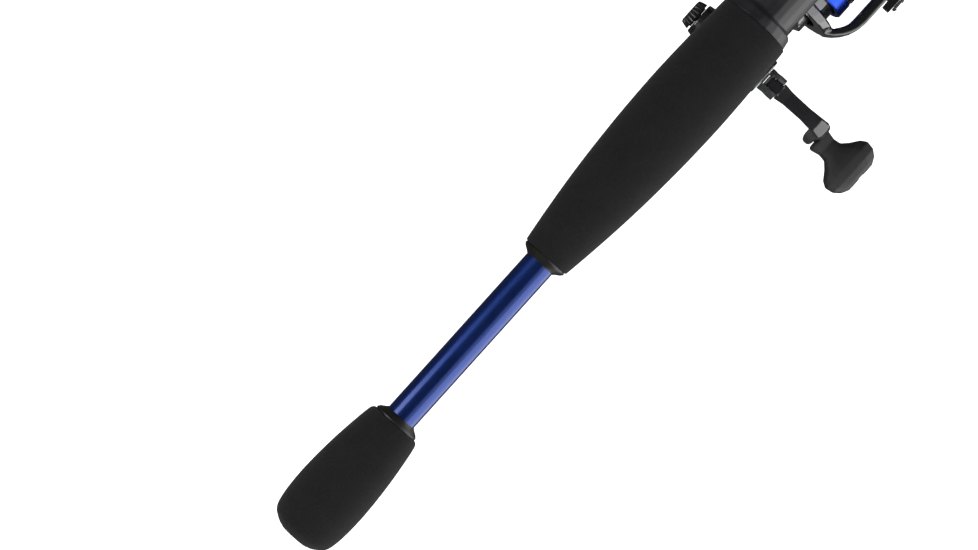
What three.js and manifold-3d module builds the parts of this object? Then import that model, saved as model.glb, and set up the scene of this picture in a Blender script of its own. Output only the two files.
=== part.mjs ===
// A telescopic spinning rod with a split foam grip, and the spinning reel that is clamped in its seat.
//
// Frame, in millimetres: +X runs along the rod from the butt to the tip, +Z is the spine side of the rod and
// the reel hangs towards -Z. The origin is the centre of the flat end face at the butt, on the rod's axis.
// The rod is stored closed, with its four inner sections pushed back into the butt tube.

import * as THREE from 'three';
import { mergeVertices } from 'three/addons/utils/BufferGeometryUtils.js';
import Module from 'manifold-3d';

const wasm = await Module();
wasm.setup();

// ---- driving dimensions ----

const FIT = 0.3; // gap between pieces that are glued, pressed or rest on each other
const RUN = 0.3; // radial gap of a piece that turns or slides on another

// rod: places along the rod, and radii
const TUBE = { start: 5, radius: 6, wall: 0.8, ahead: 90 }; // ahead: how far it runs on past the reel seat
const BUTT_GRIP = { end: 54.7, widestAt: 20.3, widest: 14, shoulder: 11.1, face: 9.5 };
const REAR_GRIP = {
  start: 136.3, end: 249, face: 9.4, widestAt: 213.5, widest: 15.45, front: 14.2,
  nose: 0.3, flareAt: 24.7, flare: 13.06, swell: 33, // where the outline turns from end to slope to swell
};
const CHECK = { length: 3, foot: 9.2 }; // the cone that closes the end of a grip
const PLUG = { radius: TUBE.radius, length: 16, hole: 0.9, holeAt: 3.6, holeDepth: 1.2 };
const SEAT = {
  start: REAR_GRIP.end + FIT, length: 90.7, radius: 11, threaded: 36, threadDepth: 0.7, pitch: 3,
};
const SEAT_END = SEAT.start + SEAT.length;
const TUBE_END = SEAT_END + TUBE.ahead;
const HOOD = { radius: 18, halfWidth: 9, length: 13, lip: 1.8, wall: 2 };
const NUT = { length: 12, radius: 14, ridges: 20, ridgeHeight: 0.7 };
const FORE_GRIP = { length: 40, back: 12.6, front: 8.8, mid: 12.4 };
const KEEPER = { at: TUBE_END - 32, span: 12, height: 5, wire: 0.55 };
const COLLAR = { length: 7, wall: 1.1 };

// inner sections, thickest first: what each loses in radius along its length, its wall, and its guide
const SECTION_BACK = 46; // where every closed section starts
const SECTION_STEP = 12; // how much further each section's front end stands out
const SECTIONS = [
  { taper: 0.1 * TUBE.radius, wall: 0.133 * TUBE.radius, ring: 8.2, drop: 19.5 },
  { taper: 0.083 * TUBE.radius, wall: 0.117 * TUBE.radius, ring: 6, drop: 15 },
  { taper: 0.042 * TUBE.radius, wall: 0.1 * TUBE.radius, ring: 4.7, drop: 11 },
  { taper: 0.02 * TUBE.radius, wall: 0, ring: 2.6, drop: 4.6 },
];
SECTIONS.forEach((section, i) => {
  const room = i ? SECTIONS[i - 1].front - SECTIONS[i - 1].wall : TUBE.radius - TUBE.wall;
  section.back = room - RUN;
  section.front = section.back - section.taper;
});
const GUIDE = {
  sleeve: 9, sleeveWall: 0.6, rim: 1.3, rimLength: 1.8, insertWall: 1.1, insertLength: 2.8, leg: 1.2,
};

// reel: its own frame has the spool axis as X, with its origin straight above the crank axis
const CRANK_X = REAR_GRIP.end - 4;
const SPOOL_DROP = 65; // from the rod's axis down to the spool's axis
const CRANK_DROP = 8.5; // from the spool's axis down to the crank's axis
const BODY = { halfWidth: 12.5, edge: 3, wall: 2, cover: 3, front: 24 };
const COVER_JOINT = BODY.halfWidth - BODY.cover; // where the side cover meets the body
const NECK = { radius: 15, front: 38 };
const FOOT = { ahead: 32, length: 52, width: 13, thickness: 4 }; // ahead: from the crank's axis to its middle
const SEAT_GAP = SEAT.radius + FIT; // the foot's saddle lies on the seat
const BOSS = { left: 17.3, right: 17, radius: 6.6 };
const SHAFT = { radius: 2, back: -20, front: 78 };
const STROKE = 4.5; // the spool travels this far each way from mid stroke
const PINION = { radius: SHAFT.radius + 1.5, shank: SHAFT.radius + 1.8, back: -5, front: 44, teeth: 10 };
const DRIVE = { radius: 15, teeth: 52, face: 4.2, thickness: 3.2, hub: 3.8 };
const OSCILLATOR = {
  radius: 9.3, at: [-14.1, -CRANK_DROP], face: 4.7 - BODY.halfWidth, thickness: 2, stud: 1.6,
  teeth: 32, driver: 4.6, driverTeeth: 16,
};
const SLIDER = { near: OSCILLATOR.face + 1.9, far: SHAFT.radius + 1.4 }; // its two faces along Y
const BEARING = { inner: 4.1, outer: 6.2, length: 3.5 };
const CLUTCH = { inner: PINION.shank + 1.4, outer: 10.5, length: 10, back: 24 };
const PINION_BEARING = { inner: PINION.shank + RUN, outer: 7.2, length: 3.5, back: 15 };

// rotor, bail and spool
const ROTOR = {
  back: 26, flange: 30, flangeRadius: 24.5, drum: 19.5, drumWall: 2, front: 40.5, hub: PINION.shank + 0.5,
};
const ARM = { inner: 27.3, outer: 31.6, front: 58.5, halfWidth: 6.5, root: 19, skirtRoom: 0.9 };
const BAIL = {
  pivotX: 54, plane: 32, thickness: 3, closed: 68, reach: 36, rollerAt: 15, holderAt: 8, wire: 0.9,
};
const ROLLER = { radius: 3, length: 4 };
const PIVOT_SCREW = { radius: 1.7, head: 3.1, headLength: 1.3, depth: 3.2 };
const SPOOL = {
  skirtBack: 35, skirtInner: 20.3, skirt: 22.6, web: 49.5, arborBack: 51.5, arbor: 16, lip: 63.5, front: 66.5,
  pocket: 10.5, pocketBack: 57, bore: SHAFT.radius + RUN,
};
const DRAG_KNOB = { back: 66.8, front: 80.5, radius: 10, rim: 12.4, ridges: 18, ridgeDepth: 0.8 };
const WASHER = { inner: SHAFT.radius + 0.6, outer: 10, length: 2.2 };

// crank
const KNUCKLE = { y: -20, radius: 5, slot: 4.2, pin: 1.4 };
const SHANK = { hex: 2.6, start: 13 };
const CRANK = { reach: 27, length: 45, thickness: 4.8 };
const SPINDLE = { radius: 1.8, head: 3.2, eye: 4.5 };
const KNOB = { length: 23, stem: 5.2, halfWidth: 12.5, halfDepth: 6.5 };
const CAP = { base: 6, top: 5.2, height: 3.2, ridges: 18, ridgeDepth: 0.45, gap: 1, bolt: 1.5 };
const LEVER = { at: [-13.5, -20.5], hub: 3, axle: 1.2, width: 5, reach: 9, slot: 4.4, tilt: 15 };

// ---- making and cutting solids ----

// A closed geometry with its faces pointing out, as a solid that can be joined and cut.
function solid(geometry) {
  const bare = geometry.index ? geometry.toNonIndexed() : geometry.clone();
  for (const name of Object.keys(bare.attributes)) {
    if (name !== 'position') bare.deleteAttribute(name);
  }
  const merged = mergeVertices(bare, 1e-3);
  const p = merged.attributes.position;
  const corner = [0, 1, 2].map(() => new THREE.Vector3());
  const faces = [];
  let volume = 0;
  for (let i = 0; i < merged.index.count; i += 3) {
    const face = [0, 1, 2].map((k) => merged.index.getX(i + k));
    if (new Set(face).size < 3) continue;
    face.forEach((v, k) => corner[k].fromBufferAttribute(p, v));
    volume += corner[0].dot(corner[1].clone().cross(corner[2]));
    faces.push(face);
  }
  if (volume < 0) faces.forEach((face) => face.reverse());
  const triVerts = new Uint32Array(faces.flat());
  return new wasm.Manifold(new wasm.Mesh({ numProp: 3, vertProperties: p.array, triVerts }));
}

const join = (...pieces) => pieces.reduce((all, piece) => all.add(piece));
const cut = (whole, ...holes) => holes.reduce((left, hole) => left.subtract(hole), whole);

function geometryOf(made) {
  const mesh = made.getMesh();
  const positions = new Float32Array(mesh.numVert * 3);
  for (let i = 0; i < mesh.numVert; i++) {
    positions.set(mesh.vertProperties.subarray(i * mesh.numProp, i * mesh.numProp + 3), i * 3);
  }
  const geometry = new THREE.BufferGeometry();
  geometry.setAttribute('position', new THREE.BufferAttribute(positions, 3));
  geometry.setIndex(new THREE.BufferAttribute(mesh.triVerts, 1));
  geometry.computeVertexNormals();
  return geometry;
}

// The solid that an outline of [x, radius] points turns about the X axis. It starts and ends on the axis,
// or closes.
function turned(outline, sides = 24) {
  const loop = outline[0][1] > 0 ? [...outline, outline[0]] : outline;
  const points = loop.map(([x, r]) => new THREE.Vector2(r, x));
  return solid(new THREE.LatheGeometry(points, sides).rotateZ(-Math.PI / 2));
}

const rod = (x0, x1, radius, sides = 24) => turned([[x0, 0], [x0, radius], [x1, radius], [x1, 0]], sides);
const ring = (x0, x1, inner, outer, sides = 32) =>
  turned([[x0, inner], [x0, outer], [x1, outer], [x1, inner]], sides);

function block(x0, x1, y0, y1, z0, z1) {
  const size = new THREE.BoxGeometry(x1 - x0, y1 - y0, z1 - z0);
  return solid(size.translate((x0 + x1) / 2, (y0 + y1) / 2, (z0 + z1) / 2));
}

// Turns a solid that lies along X so that it lies along Y, and puts its axis at x, z.
function alongY(made, x = 0, z = 0) {
  return solid(geometryOf(made).rotateZ(Math.PI / 2).translate(x, 0, z));
}

const moved = (made, x, y, z) => solid(geometryOf(made).translate(x, y, z));

// A plate whose outline is drawn in X and Z, and which is `y1 - y0` thick along Y. A rounded edge stays
// inside it.
function plate(shape, y0, y1, edge = 0, inset = 0) {
  const rounded = edge > 0 || inset > 0;
  const thick = edge || (rounded ? 0.5 : 0);
  const geometry = new THREE.ExtrudeGeometry(shape, {
    depth: y1 - y0 - 2 * thick, curveSegments: 8, bevelEnabled: rounded, bevelThickness: thick,
    bevelSize: edge, bevelOffset: -edge - inset, bevelSegments: edge ? 2 : 1,
  });
  return solid(geometry.rotateX(Math.PI / 2).translate(0, y1 - thick, 0));
}

// A closed shape through [x, z] corners joined by straight lines.
const corners = (points) => new THREE.Shape(points.map(([x, z]) => new THREE.Vector2(x, z)));

// A closed skin through rings of [x, y, z] points, each ring with the same number of points, with flat ends.
function loft(rings) {
  const count = rings[0].length;
  const middle = (points) => [0, 1, 2].map((k) => points.reduce((sum, p) => sum + p[k], 0) / points.length);
  const positions = [middle(rings[0]), ...rings.flat(), middle(rings[rings.length - 1])].flat();
  const last = rings.length * count + 1;
  const faces = [];
  for (let i = 0; i < count; i++) {
    const next = (i + 1) % count;
    faces.push([0, 1 + next, 1 + i], [last, last - count + i, last - count + next]);
    for (let layer = 0; layer + 1 < rings.length; layer++) {
      const [low, high] = [1 + layer * count, 1 + (layer + 1) * count];
      faces.push([low + i, low + next, high + next], [low + i, high + next, high + i]);
    }
  }
  const geometry = new THREE.BufferGeometry();
  geometry.setAttribute('position', new THREE.BufferAttribute(new Float32Array(positions), 3));
  geometry.setIndex(faces.flat());
  return solid(geometry);
}

// A round disc with teeth or ridges along its axis, from x0 to x1. The radius can differ at its two ends.
function toothed(x0, x1, radius, depth, count, { endRadius = radius, twist = 0, points = 4 } = {}) {
  const steps = count * points;
  const layers = twist ? 4 : 1;
  const rings = Array.from({ length: layers + 1 }, (_, layer) => {
    const t = layer / layers;
    const scale = 1 + t * (endRadius / radius - 1);
    return Array.from({ length: steps }, (_unused, i) => {
      const r = (i % points < points / 2 ? radius : radius - depth) * scale;
      const angle = (2 * Math.PI * (i + 0.5)) / steps + twist * t;
      return [x0 + t * (x1 - x0), r * Math.cos(angle), r * Math.sin(angle)];
    });
  });
  return loft(rings);
}

// A ring of points round a centre, half way between an ellipse and a rectangle, with half axes `a` and `b`.
function softRing(centre, a, b, count = 16) {
  return Array.from({ length: count }, (_, i) => {
    const angle = (2 * Math.PI * (i + 0.5)) / count;
    const [c, s] = [Math.cos(angle), Math.sin(angle)];
    const u = Math.sign(c) * Math.abs(c) ** 0.65;
    const v = Math.sign(s) * Math.abs(s) ** 0.65;
    return centre.map((middle, k) => middle + a[k] * u + b[k] * v);
  });
}

// A bent round wire along a curve.
function wire(curve, radius, steps, sides = 4) {
  const section = new THREE.Shape();
  section.absarc(0, 0, radius, 0, 2 * Math.PI);
  const options = { steps, curveSegments: sides, bevelEnabled: false, extrudePath: curve };
  return solid(new THREE.ExtrudeGeometry(section, options));
}

// ---- finishes ----

const finish = (color, roughness, metalness) =>
  new THREE.MeshStandardMaterial({ color, roughness, metalness });
const FINISH = {
  foam: finish(0x262626, 0.95, 0),
  blank: finish(0x0a1a78, 0.25, 0.5),
  check: finish(0x1c1c1a, 0.4, 0),
  seat: finish(0x151517, 0.45, 0),
  graphite: finish(0x17181a, 0.35, 0.1),
  steel: finish(0xc8cacc, 0.25, 1),
  brass: finish(0xb58d3d, 0.4, 1),
  zinc: finish(0x9a9ca0, 0.45, 1),
  dark: finish(0x101012, 0.4, 0.2),
  ceramic: finish(0x303236, 0.2, 0),
  spool: finish(0x1b3aa8, 0.3, 0.9),
  rubber: finish(0x202022, 0.8, 0),
  felt: finish(0x6b6255, 0.95, 0),
};

function add(group, name, made, material) {
  const mesh = new THREE.Mesh(geometryOf(made), material);
  mesh.name = name;
  group.add(mesh);
}

// ---- rod: handle ----

// [x, radius] points along a curved outline, whose pieces are cubic curves that follow one another.
function outline(start, ...curves) {
  const path = new THREE.Path();
  path.moveTo(...start);
  curves.forEach((c) => (c.length === 2 ? path.lineTo(...c) : path.bezierCurveTo(...c)));
  return path.getPoints(3).map((p) => [p.x, p.y]);
}

function addHandle(group) {
  const bore = TUBE.radius + FIT;
  add(group, 'butt_tube', ring(TUBE.start, TUBE_END, TUBE.radius - TUBE.wall, TUBE.radius, 24), FINISH.blank);

  const g = BUTT_GRIP;
  const buttSkin = outline(
    [0.4, bore],
    [1.3, 9, 2.6, 11.5, 4.9, 12.4],
    [8, 13.3, 13, g.widest, g.widestAt, g.widest],
    [31, g.widest, 42, 12.75, 52, g.shoulder],
    [53.6, 10.8, g.end, 10.3, g.end, g.face],
  );
  add(group, 'butt_grip', turned([...buttSkin, [g.end, bore]]), FINISH.foam);

  const shank = TUBE.radius - TUBE.wall - FIT;
  const spannerHoles = [-1, 1].map((side) =>
    moved(rod(-1, PLUG.holeDepth, PLUG.hole, 12), 0, side * PLUG.holeAt, 0));
  const plug = turned([
    [0, 0], [0, PLUG.radius], [TUBE.start - FIT, PLUG.radius], [TUBE.start - FIT, shank],
    [PLUG.length, shank], [PLUG.length, 0],
  ]);
  add(group, 'butt_plug', cut(plug, ...spannerHoles), FINISH.check);

  const cone = (wide, narrow) =>
    turned([[wide, bore], [wide, CHECK.foot], [narrow, TUBE.radius + 0.35], [narrow, bore]]);
  add(group, 'butt_check', cone(g.end + FIT, g.end + FIT + CHECK.length), FINISH.check);

  const r = REAR_GRIP;
  add(group, 'rear_check', cone(r.start - FIT, r.start - FIT - CHECK.length), FINISH.check);
  const rearSkin = outline(
    [r.start, bore], [r.start, r.face - r.nose],
    [r.start, r.face, r.start + r.nose, r.face + 0.2, r.start + 0.7, r.face + 0.35],
    [r.start + r.flareAt, r.flare, r.widestAt - r.swell, r.widest, r.widestAt, r.widest],
    [226, r.widest, 238, 14.9, r.end, r.front],
    [r.end, bore],
  );
  add(group, 'rear_grip', turned(rearSkin), FINISH.foam);

  const f = FORE_GRIP;
  const start = SEAT_END + FIT;
  const foreSkin = outline(
    [start, bore], [start, f.back - 0.8], [start, f.back, start + 0.6, f.back, start + 1.5, f.back],
    [start + 12, f.mid + 0.6, start + 26, f.front + 1.2, start + f.length - 1, f.front + 0.4],
    [start + f.length - 0.3, f.front + 0.3, start + f.length, f.front, start + f.length, f.front - 0.5],
    [start + f.length, bore],
  );
  add(group, 'fore_grip', turned(foreSkin), FINISH.foam);
  const end = start + f.length + FIT;
  add(group, 'fore_check', turned([
    [end, bore], [end, f.front - 0.8], [end + CHECK.length, TUBE.radius + 0.35], [end + CHECK.length, bore],
  ]), FINISH.check);

  const k = KEEPER;
  const under = -TUBE.radius - FIT - k.wire;
  const half = k.span / 2;
  const hook = new THREE.CatmullRomCurve3([
    [-half - 4, 0], [-half - 1, -0.1], [-half + 1.5, -k.height + 1], [0, -k.height],
    [half - 1.5, -k.height + 1], [half + 1, -0.1], [half + 4, 0],
  ].map(([x, z]) => new THREE.Vector3(k.at + x, 0, under + z)));
  add(group, 'hook_keeper', wire(hook, k.wire, 20), FINISH.steel);

  const c = COLLAR;
  add(group, 'tube_collar', turned([
    [TUBE_END - c.length, bore], [TUBE_END - c.length, TUBE.radius + c.wall - 0.3],
    [TUBE_END - c.length + 0.8, TUBE.radius + c.wall], [TUBE_END - 0.8, TUBE.radius + c.wall],
    [TUBE_END, TUBE.radius + c.wall - 0.3], [TUBE_END, bore],
  ]), FINISH.steel);
}

// ---- rod: reel seat, with its fixed hood, sliding hood and lock nut ----

const FOOT_X = CRANK_X + FOOT.ahead;
const FOOT_BACK = FOOT_X - FOOT.length / 2;
const FOOT_FRONT = FOOT_X + FOOT.length / 2;
const FOOT_TIP = 2.6; // thickness of the foot's two ends, at their middle
const FOOT_SADDLE = 9; // from the rod's axis down to the edges of the saddle

// A hood's outer shape: a round arch under the seat, from x0 to x1.
function arch(x0, x1, sides = 32) {
  const mid = (x0 + x1) / 2;
  const bulge = turned([
    [x0, 0], [x0, HOOD.radius - 1.6], [mid - 3, HOOD.radius], [mid + 3, HOOD.radius],
    [x1, HOOD.radius - 1.6], [x1, 0],
  ], sides);
  return bulge.intersect(block(x0, x1, -HOOD.halfWidth, HOOD.halfWidth, -HOOD.radius - 1, -4));
}

// The room that a hood leaves for one end of the reel's foot.
function footRoom(x0, x1) {
  const half = FOOT.width / 2 + RUN;
  const floor = SEAT_GAP + FOOT.thickness + FIT;
  return cut(block(x0, x1, -half, half, -floor, -4), rod(x0 - 1, x1 + 1, SEAT.radius));
}

function addSeat(group) {
  const s = SEAT;
  const threads = [];
  const threadStart = SEAT_END - s.threaded;
  for (let x = threadStart; x + s.pitch <= SEAT_END - 1; x += s.pitch) {
    threads.push([x, s.radius - s.threadDepth], [x + s.pitch / 2, s.radius]);
  }
  const pipe = turned([
    [s.start, TUBE.radius + FIT], [s.start, REAR_GRIP.front - 0.5], [s.start + 4, REAR_GRIP.front - 1.2],
    [s.start + 5.5, s.radius], [threadStart - 1, s.radius], ...threads,
    [SEAT_END - 1, s.radius - s.threadDepth], [SEAT_END, s.radius - s.threadDepth],
    [SEAT_END, TUBE.radius + FIT],
  ], 24);
  const hoodEnd = SEAT.start + HOOD.length;
  const fixedHood = cut(arch(SEAT.start, hoodEnd), rod(SEAT.start - 1, hoodEnd + 1, TUBE.radius + 2));
  add(group, 'reel_seat', cut(join(pipe, fixedHood), footRoom(FOOT_BACK - RUN, hoodEnd + 1)), FINISH.seat);

  const back = FOOT_FRONT + FIT - HOOD.length + HOOD.lip;
  const front = back + HOOD.length;
  const hoodBore = s.radius + RUN;
  const hood = cut(
    join(ring(back, front, hoodBore, hoodBore + HOOD.wall, 32), arch(back, front)),
    rod(back - 1, front + 1, hoodBore, 32),
    footRoom(back - 1, front - HOOD.lip),
  );
  add(group, 'sliding_hood', hood, FINISH.dark);

  const n = NUT;
  const start = front + FIT;
  const body = join(
    toothed(start + 1, start + n.length - 3, n.radius, n.ridgeHeight, n.ridges, { points: 2 }),
    turned([
      [start, 0], [start, n.radius - 1.6], [start + 1.2, n.radius - n.ridgeHeight],
      [start + n.length - 3.2, n.radius - n.ridgeHeight], [start + n.length, n.radius - 2],
      [start + n.length, 0],
    ]),
  );
  add(group, 'lock_nut', cut(body, rod(start - 1, start + n.length + 1, s.radius + RUN, 32)), FINISH.dark);
}

// ---- rod: inner sections and guides ----

function addSections(group) {
  SECTIONS.forEach((s, i) => {
    const last = i === SECTIONS.length - 1;
    const front = TUBE_END + (i + 1) * SECTION_STEP - (last ? 1 : 0);
    const sides = i < 2 ? 24 : 16;
    const shape = last
      ? turned([[SECTION_BACK, 0], [SECTION_BACK, s.back], [front, s.front], [front, 0]], sides)
      : turned([
        [SECTION_BACK, s.back - s.wall], [SECTION_BACK, s.back], [front, s.front], [front, s.front - s.wall],
      ], sides);
    add(group, `section_${i + 2}`, shape, FINISH.blank);
    addGuide(group, i + 2, s, front, last);
  });
}

// A guide: a sleeve that is glued on the section's front end, a rim on two legs, and a hard ring in the rim.
function addGuide(group, number, section, front, last) {
  const g = GUIDE;
  const sleeveBore = section.front + FIT;
  const sleeveOuter = sleeveBore + g.sleeveWall + (last ? 0.2 : 0);
  const sleeveStart = front - g.sleeve;
  const taper = ((section.back - section.front) * g.sleeve) / (front - SECTION_BACK);
  const sleeve = turned([
    [sleeveStart, sleeveBore + taper], [sleeveStart, sleeveOuter + taper],
    [front, sleeveOuter], [front, sleeveBore],
  ], 20);
  const rimX = last ? front + g.rimLength / 2 : front - g.rimLength;
  const rimOuter = section.ring + g.rim;
  const rim = ring(rimX - g.rimLength / 2, rimX + g.rimLength / 2, section.ring, rimOuter, 24);
  const top = -sleeveOuter + 0.4;
  const legTo = -section.drop + section.ring + g.rim / 2;
  const legs = [-1, 1].map((side) => {
    const spread = Math.min(section.ring * 0.5, sleeveOuter * 0.7);
    const footZ = -section.drop + Math.sqrt((section.ring + g.rim / 2) ** 2 - spread ** 2);
    const shape = new THREE.CatmullRomCurve3([
      new THREE.Vector3(sleeveStart + 2.5, side * spread * 0.6, top),
      new THREE.Vector3((sleeveStart + rimX) / 2 + 1, side * spread * 0.8, (top + legTo) / 2),
      new THREE.Vector3(rimX, side * spread, footZ),
    ]);
    return wire(shape, g.leg / 2, 4);
  });
  const frame = cut(
    join(sleeve, moved(rim, 0, 0, -section.drop), ...legs),
    rod(sleeveStart - 1, front + (last ? 0 : 1), sleeveBore, 20),
  );
  add(group, `guide_frame_${number}`, frame, FINISH.dark);
  const outer = section.ring - FIT;
  const inner = outer - g.insertWall;
  const insert = turned([
    [rimX - g.insertLength / 2, inner + 0.5], [rimX - g.insertLength / 2 + 0.5, outer],
    [rimX + g.insertLength / 2 - 0.5, outer], [rimX + g.insertLength / 2, inner + 0.5],
    [rimX + 0.5, inner], [rimX - 0.5, inner],
  ], 24);
  add(group, `guide_ring_${number}`, moved(insert, 0, 0, -section.drop), FINISH.ceramic);
}

// ---- reel: body with foot, side cover and what turns in it ----

// The side view of the gear housing.
function housingShape() {
  const s = new THREE.Shape();
  s.moveTo(BODY.front, 14);
  s.lineTo(BODY.front, -13);
  s.bezierCurveTo(BODY.front, -22, 12, -27, -2, -27);
  s.bezierCurveTo(-18, -27, -31, -18, -31, -6);
  s.bezierCurveTo(-31, 6, -20, 13.5, -6, 14.5);
  s.lineTo(BODY.front, 14);
  return s;
}

// The stem from the housing up to the foot. Each section has its share of the height, its middle and half
// length along X, and its half width along Y.
function stemSolid() {
  const low = 9;
  const rise = SPOOL_DROP - SEAT_GAP - FOOT.thickness + 0.7 - low;
  const sections = [
    [0, 14, 8.5, 5.2], [0.12, 14.4, 7.4, 4.4], [0.265, 15.6, 6.3, 3.8], [0.435, 18, 5.6, 3.4],
    [0.605, 21.5, 5.4, 3.3], [0.75, 25.5, 6.2, 3.4], [0.87, 29.5, 8.6, 3.9], [0.955, 32, 12.5, 4.8],
    [1, 32, 14.5, 5.6],
  ];
  return loft(sections.map(([share, x, a, b]) => softRing([x, 0, low + share * rise], [a, 0, 0], [0, b, 0])));
}

// The foot under the seat: a bar that thins towards its two ends, with a saddle that follows the seat.
function footSolid() {
  const half = FOOT.length / 2;
  const top = SPOOL_DROP - 4;
  const thick = SPOOL_DROP - SEAT_GAP - FOOT.thickness;
  const tip = SPOOL_DROP - SEAT_GAP - FOOT_TIP;
  const side = corners([
    [-half, tip], [-half + 12, thick], [half - 12, thick], [half, tip], [half, top], [-half, top],
  ]);
  const bar = plate(side, -FOOT.width / 2, FOOT.width / 2);
  const seat = moved(rod(-half - 1, half + 1, SEAT_GAP, 32), 0, 0, SPOOL_DROP);
  const saddleTop = SPOOL_DROP - FOOT_SADDLE;
  const low = block(-half - 1, half + 1, -FOOT.width, FOOT.width, thick - 5, saddleTop);
  return moved(cut(bar.intersect(low), seat), FOOT.ahead, 0, 0);
}

// A round bar along the crank's axis.
const crankRod = (radius, y0, y1, sides = 24) => alongY(rod(y0, y1, radius, sides), 0, -CRANK_DROP);

const COVER_SCREW = { radius: 1.1, head: 2.2, headLength: 1.4, length: 10, post: 2.4 };
const COVER_SCREWS = [[-22.5, 6], [14, -20], [13, 10.5]]; // where they stand, in X and Z

const upright = (x0, x1, radius, [x, z], sides = 16) => alongY(rod(x0, x1, radius, sides), x, z);

function addBody(group) {
  const half = BODY.halfWidth;
  const far = 60;
  const coverEnd = BODY.front - 3;
  const housing = plate(housingShape(), -half, half, BODY.edge);
  const cavity = plate(housingShape(), -half + BODY.wall, half + 5, 0, BODY.wall);
  const neck = rod(coverEnd, NECK.front, NECK.radius, 32);
  const coverSide = block(-far, coverEnd, COVER_JOINT, far, -far, far);
  const rightBoss = crankRod(BOSS.radius + 1.2, -BOSS.right, -half + 2, 32);
  const outside = join(housing, neck, stemSolid(), footSolid(), rightBoss);
  const shell = cut(outside, cavity.subtract(neck), coverSide);

  const screwStart = COVER_JOINT - COVER_SCREW.length;
  const posts = COVER_SCREWS.map((at) => upright(-half + 1, COVER_JOINT, COVER_SCREW.post, at));
  const postBores = COVER_SCREWS.map((at) => upright(screwStart, half, COVER_SCREW.radius + FIT, at, 12));
  const seatBack = PINION_BEARING.back - 3;
  const bearingSeat = cut(rod(seatBack, coverEnd + 1, PINION_BEARING.outer + 2, 32), coverSide);
  const gearStud = upright(-half + 1, OSCILLATOR.face + 1.5, OSCILLATOR.stud, OSCILLATOR.at);
  const [leverX, leverZ] = LEVER.at;
  const leverSlot = block(
    leverX - LEVER.slot, leverX + LEVER.slot, -LEVER.width / 2 - RUN, LEVER.width / 2 + RUN, -far, leverZ,
  );
  add(group, 'reel_body', cut(
    join(shell, ...posts.map((post) => post.intersect(housing)), bearingSeat, gearStud),
    rod(seatBack - 1, CLUTCH.back, PINION_BEARING.outer + FIT, 32),
    rod(CLUTCH.back - 0.3, NECK.front + 1, CLUTCH.outer + FIT, 32),
    crankRod(BEARING.outer + FIT, -BOSS.right + 2, -half + 4, 32),
    crankRod(DRIVE.radius + 0.6, DRIVE.face - 1, COVER_JOINT + 1, 32),
    crankRod(DRIVE.hub + 0.6, -BOSS.right - 1, 0),
    leverSlot,
    upright(-half + 0.8, 0, LEVER.axle + FIT, LEVER.at, 12),
    ...postBores,
  ), FINISH.graphite);

  const lid = housing.intersect(block(-far, coverEnd - FIT, COVER_JOINT + FIT, far, -far, far));
  const leftBoss = alongY(turned([
    [half - 2, 0], [half - 2, BOSS.radius + 2.2], [half + 1, BOSS.radius + 0.6],
    [BOSS.left - 0.4, BOSS.radius], [BOSS.left, BOSS.radius - 0.5], [BOSS.left, 0],
  ]), 0, -CRANK_DROP);
  const headSeat = half - COVER_SCREW.headLength - 0.2;
  add(group, 'side_cover', cut(
    join(lid, leftBoss),
    crankRod(BEARING.outer + FIT, COVER_JOINT - 3, COVER_JOINT + BEARING.length + FIT + 0.2, 32),
    crankRod(DRIVE.hub + 0.6, 0, SHANK.start + 2),
    crankRod(CAP.bolt + 0.5, 0, BOSS.left + 1),
    ...COVER_SCREWS.map((at) => upright(0, half + 1, COVER_SCREW.radius + FIT, at, 12)),
    ...COVER_SCREWS.map((at) => upright(headSeat, half + 1, COVER_SCREW.head + FIT, at)),
  ), FINISH.graphite);

  COVER_SCREWS.forEach(([x, z], i) => {
    const c = COVER_SCREW;
    const head = half - c.headLength;
    const screw = alongY(turned([
      [screwStart + 1, 0], [screwStart + 1, c.radius], [head, c.radius], [head, c.head],
      [half - 0.4, c.head], [half, c.head - 0.5], [half, 0],
    ], 12), x, z);
    const slot = block(x - 3, x + 3, half - 0.5, half + 1, z - 0.3, z + 0.3);
    add(group, `cover_screw_${i + 1}`, cut(screw, slot), FINISH.steel);
  });
}

function addBearings(group) {
  const b = BEARING;
  const pair = [['gear_bearing_left', COVER_JOINT], ['gear_bearing_right', -BOSS.right + 2.3]];
  for (const [name, y] of pair) {
    add(group, name, alongY(ring(y, y + b.length, b.inner, b.outer, 24), 0, -CRANK_DROP), FINISH.steel);
  }
  const p = PINION_BEARING;
  add(group, 'pinion_bearing', ring(p.back, p.back + p.length, p.inner, p.outer, 24), FINISH.steel);
  const c = CLUTCH;
  add(group, 'clutch_bearing', ring(c.back, c.back + c.length, c.inner, c.outer, 24), FINISH.steel);
}

const hexBar = (x0, x1, radius) => toothed(x0, x1, radius, 0, 6, { points: 1 });

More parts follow.
